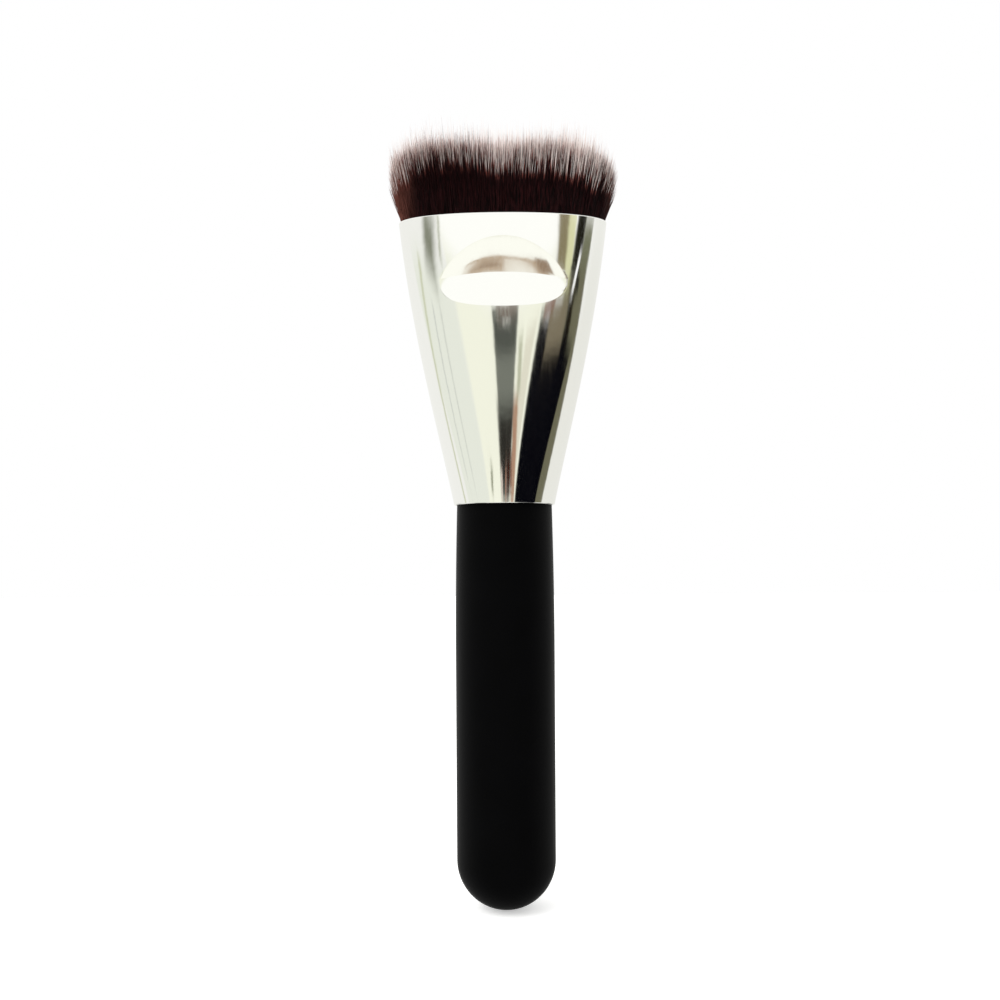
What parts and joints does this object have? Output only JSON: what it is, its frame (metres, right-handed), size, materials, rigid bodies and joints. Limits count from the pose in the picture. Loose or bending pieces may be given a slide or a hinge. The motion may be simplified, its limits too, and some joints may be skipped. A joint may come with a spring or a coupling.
{
  "type": "foundation brush",
  "caption": "Foundation brush with a dense flat-topped tuft, a polished ferrule drawn from a round neck to a dimpled oval mouth, and a turned round-ended handle.",
  "frame": {"origin": "lowest point of the handle's round end, on the brush's axis, at the mount handle_end", "axes": "+Z along the axis from the handle towards the bristles; +X along the wide side of the oval mouth; the front face looks along -Y"},
  "size_m": [0.0438, 0.0194, 0.1464],
  "materials": {
    "lacquered_handle": "turned wood under matte black lacquer",
    "chrome_sheet": "drawn sheet with polished bright plating",
    "tuft_fibre": "dark brown fibre with pale tapered tips",
    "thread": "waxed binding thread",
    "cast_resin": "cast amber resin",
    "adhesive": "set adhesive"
  },
  "bodies": {
    "root": {"handle": "lacquered_handle", "ferrule": "chrome_sheet", "bristle_tuft": "tuft_fibre", "binding_thread": "thread", "root_plug": "cast_resin", "tenon_adhesive": "adhesive"}
  },
  "joints": []
}
